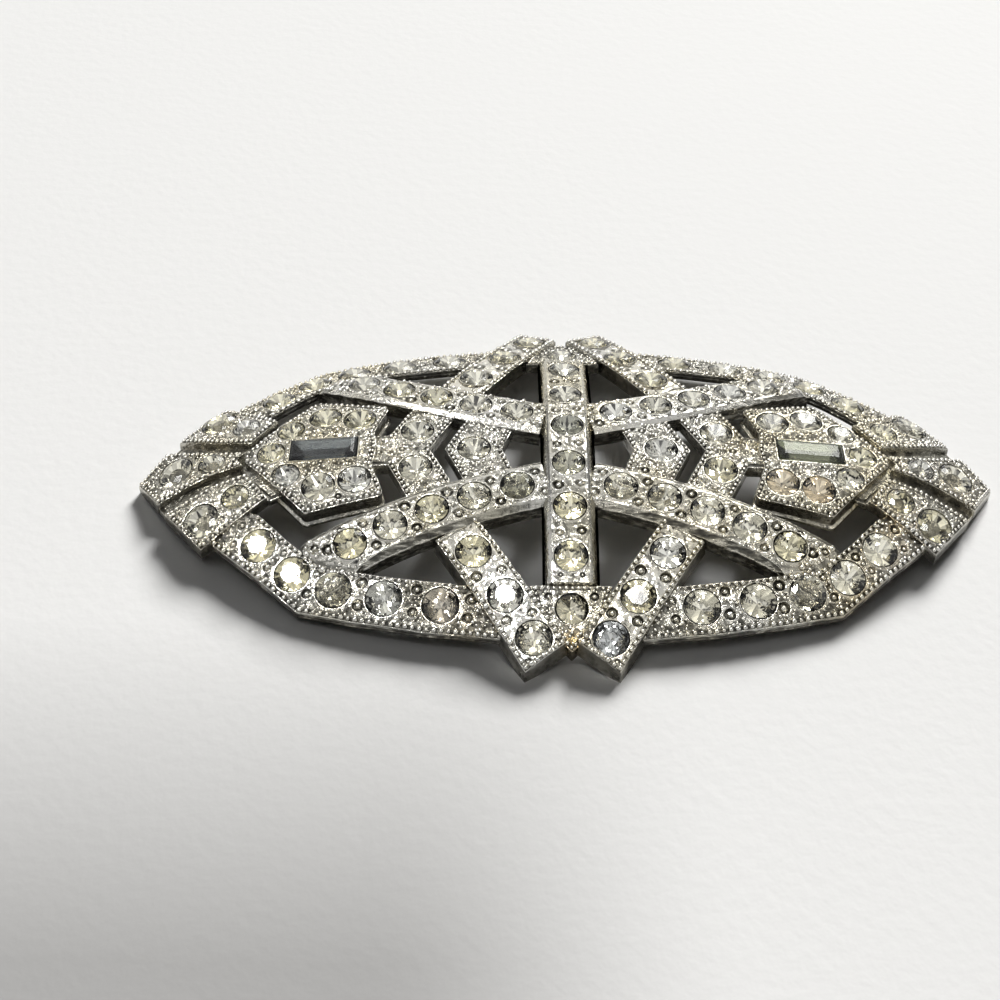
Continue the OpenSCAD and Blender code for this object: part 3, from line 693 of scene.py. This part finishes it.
def rounded(corners, radius, steps=4, blunt=70, most=0.45):
    """An outline with its corners rounded, apart from the blunt ones"""
    corners, loop = np.array(corners, float), []
    for a, b, c in zip(np.roll(corners, 1, axis=0), corners, np.roll(corners, -1, axis=0)):
        u, v = (a - b) / np.linalg.norm(a - b), (c - b) / np.linalg.norm(c - b)
        half = math.acos(np.clip(np.dot(u, v), -1, 1)) / 2
        reach = min(radius / math.tan(half), most * min(np.linalg.norm(a - b), np.linalg.norm(c - b)))
        shares = np.linspace(0, 1, steps + 1) if math.degrees(half) < blunt else []
        loop += [(1 - t) ** 2 * (b + u * reach) + 2 * t * (1 - t) * b + t * t * (b + v * reach) for t in shares]
        loop += [] if len(shares) else [b]
    return np.array(loop)

def long_hole(half_l, half_w):
    side_l, side_w = np.linspace(-1, 1, 14), np.linspace(-1, 1, 7)
    a = np.concatenate([side_l[:-1], np.ones(6), -side_l[:-1], -np.ones(6)])
    b = np.concatenate([-np.ones(13), side_w[:-1], np.ones(13), -side_w[:-1]])
    return lambda grow: (a * (half_l + grow), b * (half_w + grow))

for sx in (1, -1):
    corners = rounded(at(block_rim, sx), 0.6)
    blocks.form(corners, raised(block_lift), 1.7, [r for r in four_ways(block_rows) if r[0] * sx > 0],
                [pit for above in block_pits for sy in (1, -1) for pit in at([above], sx, sy)],
                beads=range(len(corners)), rough=0.1, wall=0.35, lip=0, foot=-0.05, soil=0.4,
                slots=[(stone_frame(sx * baguette_x, 0, block_lift, 0), baguette_l, baguette_w)],
                core=((-0.2, -1.55, 0), (-0.16, -1.35, 0), (0.04, -1.2), (0.06, -0.7)))
blocks.piece("shoulder_blocks", grained)
blocks.milgrain("block_beads", 0.5, 0.2)
blocks.grain("block_grain", 8.0)

# ---------- the end caps ----------
# Each end is a cast cap of three lobes, parted by two polished grooves that curve up to its point;
# a thin sunk floor joins it to the block. Each lobe carries two stones.
ends = Cast()
cap_lift, floor_lift, ledge_lift = 0.35, -0.3, -0.5
middle_lobe = [(28.9, 0), (28.34, 0.76), (31.1, 1.37), (33.4, 2.25), (35.75, 3.2), (38, 0), (35.75, -3.2),
               (33.4, -2.25), (31.1, -1.37), (28.34, -0.76)]
side_lobe = [(27.9, 1.94), (30.75, 2.65), (32.85, 3.6), (34.9, 4.55), (31.2, 8.8), (25.78, 4.81)]
floor_rim = [(28.9, 0), (25.5, 4.6), (31.2, 8.8), (35.1, 4.3), (38, 0), (35.1, -4.3), (31.2, -8.8), (25.5, -4.6)]
ledge_rim = [(27, 0), (24.4, 4.05), (25.7, 4.5), (30, 0), (25.7, -4.5), (24.4, -4.05)]
middle_rows = [(34.5, 0, cap_lift, 3.2, 0), (31.2, 0, cap_lift, 2.4, 0)]
side_rows = [(31.4, 6.15, cap_lift, 3.2, 40), (28.6, 4.35, cap_lift, 2.4, 40)]
middle_pits = [(32.7, 1.35, cap_lift, 0.3), (32.7, -1.35, cap_lift, 0.3), (36.7, 0, cap_lift, 0.3)]
side_pits = [(29.6, 6.3, cap_lift, 0.35), (30.9, 3.75, cap_lift, 0.3), (33.4, 4.9, cap_lift, 0.3)]
for sx in (1, -1):
    for sy, lobe, rows, pits in ((1, middle_lobe, middle_rows, middle_pits), (1, side_lobe, side_rows, side_pits),
                                 (-1, side_lobe, side_rows, side_pits)):
        ends.form(at(lobe, sx, sy), raised(cap_lift), 1.15, at(rows, sx, sy), at(pits, sx, sy),
                  beads=range(len(lobe)), rough=0.09)
    rim = np.array(at(floor_rim, sx), float)
    middle = rim.mean(0)
    ends.form(middle + (rim - middle) * 0.975, raised(floor_lift), 0.65, soil=0.5)
    ends.form(at(ledge_rim, sx), raised(ledge_lift), 0.65)
ends.piece("end_caps", grained)
ends.milgrain("end_beads", 0.5, 0.2)
ends.grain("end_grain", 8.0)

# ---------- the solder pads and the pin ----------
# Out of sight on the back, two flat pads of the casting carry the soldered pin, a plain steel one
# with a foot at each end; it has no moving part.
pads = Cast()
pad_x, pad_y, pad_lift, pad_foot = 15.5, 8.75, -0.45, 2.9
for sx in (1, -1):
    corners = [(sx * pad_x + a, pad_y + b) for a, b in ((-1.5, -1.2), (1.5, -1.2), (1.5, 1.2), (-1.5, 1.2))]
    pads.form(rounded(corners, 0.3), raised(pad_lift), lambda x, y: skin(x, y) + pad_lift - pad_foot)
pads.piece("solder_pads", plated)
steel, tree, shader = painted("brushed_steel")
stretched = add_node(tree, "ShaderNodeMapping", {"Vector": add_node(tree, "ShaderNodeTexCoord").outputs["Object"],
                                                 "Scale": (400, 9000, 9000)}).outputs["Vector"]
lines = noise(tree, stretched, 1, 3)
groove = add_node(tree, "ShaderNodeBump", {"Height": lines, "Distance": 0.00002}).outputs["Normal"]
give(tree, shader, {"Metallic": 1, "Normal": groove,
                    "Base Color": ramp(tree, lines, [(0.3, (0.42, 0.42, 0.41)), (0.75, (0.68, 0.68, 0.66))]),
                    "Roughness": calc(tree, "ADD", calc(tree, "MULTIPLY", lines, 0.3), 0.2)})
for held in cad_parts["pin_back"].material_slots:
    held.material = steel

# ---------- the round stones ----------
# Cut glass chatons with foiled backs, each held in its seat by the cast grains round it. With age
# most have turned straw or grey, and a few backs have gone dark.
# Haze on the stones' glass and foil; the foil's facets are also painted lighter and darker, a painted sparkle
stone_haze, given, found = group("stone_haze", "ShaderNodeTree", {"Haze": "Float", "Matt": "Float"},
                                 {"Color": "Color", "Roughness": "Float"})
spot = add_node(stone_haze, "ShaderNodeTexCoord").outputs["Object"]
film = calc(stone_haze, "MULTIPLY", noise(stone_haze, spot, 700, 4, 0.6), given["Haze"], True)
hazy = mix(stone_haze, film, mark(stone_haze, "tint", "Color"), (0.62, 0.58, 0.47))
shaded = add_node(stone_haze, "ShaderNodeVectorMath", {0: hazy, "Scale": mark(stone_haze, "facet_painted_light")}, operation="SCALE")
give(stone_haze, found, {"Color": shaded.outputs["Vector"],
                         "Roughness": calc(stone_haze, "ADD", calc(stone_haze, "MULTIPLY", film, 0.2), given["Matt"])})

def hazed(name, haze, matt, metallic):
    """Glass or foil under a film of haze; each foil facet also keeps its painted brightness, a painted sparkle"""
    made, tree, shader = painted(name)
    worn = add_node(tree, "ShaderNodeGroup", node_tree=stone_haze)
    give(tree, worn.inputs, {"Haze": haze, "Matt": matt})
    give(tree, shader, {"Metallic": metallic, "Transmission Weight": 1 - metallic, "IOR": 1.36,
                        "Base Color": worn.outputs["Color"], "Roughness": worn.outputs["Roughness"]})
    return made

glass, foil = hazed("stone_glass", 0.12, 0, 0), hazed("stone_foil", 0.1, 0.02, 1)

def cut_stone(name, rings, faces, crown_faces, painted_facet_shades):
    """A cut stone as a plain mesh; its lower facets are marked for the foil, each with its own painted brightness, a
    painted sparkle
    """
    mesh = bpy.data.meshes.new(name)
    mesh.from_pydata([tuple(np.array(p) * mm) for p in rings], [], faces)
    for label, kind, values in (("foiled", "BOOLEAN", [k >= crown_faces for k in range(len(faces))]),
                                ("facet_painted_light", "FLOAT", [1.0] * crown_faces + painted_facet_shades)):
        mesh.attributes.new(label, kind, "FACE").data.foreach_set("value", values)
    return bpy.data.objects.new(name, mesh)

def ring_of(r, h, n, turn):
    turns = [(k + turn) * 2 * math.pi / n for k in range(n)]
    return [(r * math.cos(t), r * math.sin(t), h) for t in turns]

# Rings of a brilliant-cut chaton one millimetre wide: table, crown mid points, two round the girdle,
# pavilion mid points, point
table_h, girdle, point_depth, table_r, crown_r, base_r = 0.36, 0.05, 1.0, 0.6, 0.8, 0.3
crown_mid = table_h - (table_h - girdle) * (crown_r * math.cos(math.pi / 8) - table_r) / (1 - table_r)
base_mid = -point_depth + (point_depth - girdle) * base_r * math.cos(math.pi / 8)
rings = (ring_of(0.5 * table_r, table_h, 8, 0) + ring_of(0.5 * crown_r, crown_mid, 8, 0.5)
         + ring_of(0.5, girdle, 16, 0) + ring_of(0.5, -girdle, 16, 0)
         + ring_of(0.5 * base_r, base_mid, 8, 0.5) + [(0, 0, -point_depth)])
T, C, G, H, B, P = 0, 8, 16, 32, 48, 56  # where each ring begins
crown, base = [tuple(range(8))], []
for k in range(8):
    nxt, before = (k + 1) % 8, (k - 1) % 8
    crown += [(T + k, C + k, T + nxt), (T + k, C + before, G + 2 * k, C + k),
              (C + k, G + 2 * k, G + 2 * k + 1), (C + k, G + 2 * k + 1, G + (2 * k + 2) % 16)]
    crown += [(G + j, H + j, H + (j + 1) % 16, G + (j + 1) % 16) for j in (2 * k, 2 * k + 1)]
    base += [(P, B + k, H + 2 * k, B + before), (B + k, H + 2 * k + 1, H + 2 * k),
             (B + k, H + (2 * k + 2) % 16, H + 2 * k + 1)]
# How bright each foil facet is painted: a painted sparkle in light and dark wedges
painted_facet_shades = [shade for main in (1, 0.66, 0.96, 0.56, 1, 0.7, 0.94, 0.6) for shade in (main, 0.96, 0.62)]
chaton = cut_stone("chaton", rings, crown + base, len(crown), painted_facet_shades)

# Sets a cut stone at every point: turned by the point's attributes, realised, crown glass and base foiled
set_stones, given, found = group("set_stones", "GeometryNodeTree",
                                 {"Seats": "Geometry", "Stone": "Object", "Glass": "Material", "Foil": "Material"},
                                 {"Stones": "Geometry"})

def named(name, kind="FLOAT_VECTOR"):
    return add_node(set_stones, "GeometryNodeInputNamedAttribute", {"Name": name}, data_type=kind).outputs["Attribute"]

turned = add_node(set_stones, "FunctionNodeAxesToRotation",
                  {"Primary Axis": named("out"), "Secondary Axis": named("along")},
                  primary_axis="Z", secondary_axis="X").outputs["Rotation"]
stone = add_node(set_stones, "GeometryNodeObjectInfo", {"Object": given["Stone"]}).outputs["Geometry"]
give(set_stones, found, {"Stones": through(
    set_stones, given["Seats"],
    ("InstanceOnPoints", {"Instance": stone, "Rotation": turned, "Scale": named("size")}), ("RealizeInstances", {}),
    ("SetMaterial", {"Material": given["Glass"]}),
    ("SetMaterial", {"Material": given["Foil"], "Selection": named("foiled", "BOOLEAN")}))})

# How the near stones have aged, and how some stones lie in their seats: each number is one way of
# being turned and tipped, 0 lies flat, and from loose on they are tipped more
straw, pale, clear_glass = (0.995, 0.97, 0.85), (0.995, 0.98, 0.91), (0.995, 0.99, 0.955)
tint_mix = (clear_glass, pale, straw, pale, straw, pale, clear_glass, pale)
aged = [(-19.6, -13.55, (0.97, 0.955, 0.87)), (-15.4, -14.5, (0.86, 0.86, 0.83)), (-10.7, -15.25, (0.86, 0.83, 0.77)),
        (10.7, -15.25, pale), (15.4, -14.5, pale), (19.6, -13.55, (0.93, 0.92, 0.86)), (-3.1, -18.5, pale),
        (-5.4, -14.9, clear_glass), (3.1, -18.5, (0.82, 0.83, 0.83)), (5.4, -14.9, straw),
        (0, -15.85, (0.93, 0.91, 0.82)), (0, -11.72, straw), (0, -7.04, straw), (0, -2.36, (0.88, 0.87, 0.79)),
        (0, 2.36, (0.8, 0.8, 0.74)), (-4.4, -4.7, (0.8, 0.79, 0.71)), (-8.05, -5.8, pale),
        (21.4, -4.3, (0.985, 0.92, 0.80)), (18.3, -3.75, (0.985, 0.93, 0.82))]
settings = {(-11, -15): 4, (11, -15): 2, (15, -14): 5, (23, -12): 3, (-18, -10): 5, (18, -10): 6, (0, -7): 2,
            (34, 0): 3, (13, -2): 4, (-5, -15): 0, (5, -15): 8, (-15, -14): 3, (-26, -9): 4, (-23, -12): 4,
            (29, -4): 5, (31, -6): 3, (3, -18): 4, (-3, -18): 3, (-20, -14): 12, (20, -14): 13, (0, -16): 12}
loose, tip_little, tip_much = 10, 0.03, 0.09

def stones(name, rows, node, template=chaton, top=glass):
    """A group of stones as one piece, each with its own tint and its own way of lying in its seat"""
    spots, outs, alongs, sizes, tints = [], [], [], [], []
    is_round = template is chaton
    for x, y, level, d, turn in rows:
        setting = settings.get((round(x), round(y)), 1)
        chance = np.random.default_rng((setting, round(10 * x) + 1000, round(10 * y) + 1000))
        spot, along, across, out = stone_frame(x, y, level, chance.uniform(0, 360) if is_round else turn)
        tip = (tip_little if setting < loose else tip_much) if setting and is_round else 0
        tilt = chance.normal(0, tip, 2)
        out = out + tilt[0] * along + tilt[1] * across
        spots.append(tuple(spot * mm))
        outs.append(out / np.linalg.norm(out))
        alongs.append(along)
        sizes.append((d, d, 1) if is_round else (1, 1, 1))
        near = [t for a, b, t in aged if math.hypot(a - x, b - y) < 0.8]
        tint = near[0] if near else tint_mix[chance.integers(8)]
        tints.append((*(np.array(tint) * chance.uniform(0.96, 1.0)), 1))
    mesh = bpy.data.meshes.new(name)
    mesh.from_pydata(spots, [], [])
    for label, values, kind in (("out", outs, "vector"), ("along", alongs, "vector"), ("size", sizes, "vector"),
                                ("tint", tints, "color")):
        kept_on = mesh.attributes.new(label, "FLOAT_" + kind.upper(), "POINT")
        kept_on.data.foreach_set(kind, np.array(values, np.float32).ravel())
    made = grow(name, mesh, set_stones, Stone=template, Glass=top, Foil=foil)
    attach(made, "root")
    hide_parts(node)
    return made

stones("bar_stones", bar_rows + key_rows, "centre_stones")
stones("strap_stones_cut", four_ways(strap_rows), "strap_stones")
stones("border_stones_cut", four_ways(border_rows), "border_stones")
stones("arc_stones_cut", four_ways(arc_rows), "arc_stones")
stones("chevron_stones_cut", at(inner_rows + outer_rows, 1) + at(inner_rows + outer_rows, -1), "chevron_stones")
stones("block_stones_cut", four_ways(block_rows), "block_stones")
stones("end_stones_cut", four_ways(middle_rows + side_rows), "end_stones")

# ---------- the baguettes ----------
# One long step-cut glass stone in each shoulder block, foiled behind: the left one is slate blue,
# the right one pale grey-green.
steps = [(2.4, 0.7, table_h), (2.68, 0.98, 0.75 * table_h), (baguette_l, baguette_w, 0.12),
         (baguette_l, baguette_w, -0.06)]
points = [(a * l, b * w, h) for l, w, h in steps for a, b in ((1, 1), (-1, 1), (-1, -1), (1, -1))]
points += [(1.7, 0, -point_depth), (-1.7, 0, -point_depth)]
faces = [(0, 1, 2, 3)] + [(4 * s + k, 4 * s + 4 + k, 4 * s + 4 + (k + 1) % 4, 4 * s + (k + 1) % 4)
                          for s in range(3) for k in range(4)]
faces += [(12, 16, 17, 13), (13, 17, 14), (14, 17, 16, 15), (15, 16, 12)]
# Its foiled facets are painted lighter and darker too, a painted sparkle
baguette = cut_stone("baguette", points, faces, 13, [0.9, 0.65, 0.85, 0.7])
aged += [(-baguette_x, 0, (0.30, 0.32, 0.33)), (baguette_x, 0, (0.50, 0.52, 0.43))]
worn_glass = hazed("worn_glass", 0.3, 0.16, 0)
for sx, node, slot in ((-1, "baguette_left", "blue_grey_stone"), (1, "baguette_right", "green_grey_stone")):
    stones(node + "_cut", [(sx * baguette_x, 0, block_lift, 1, 0)], node, baguette, worn_glass)
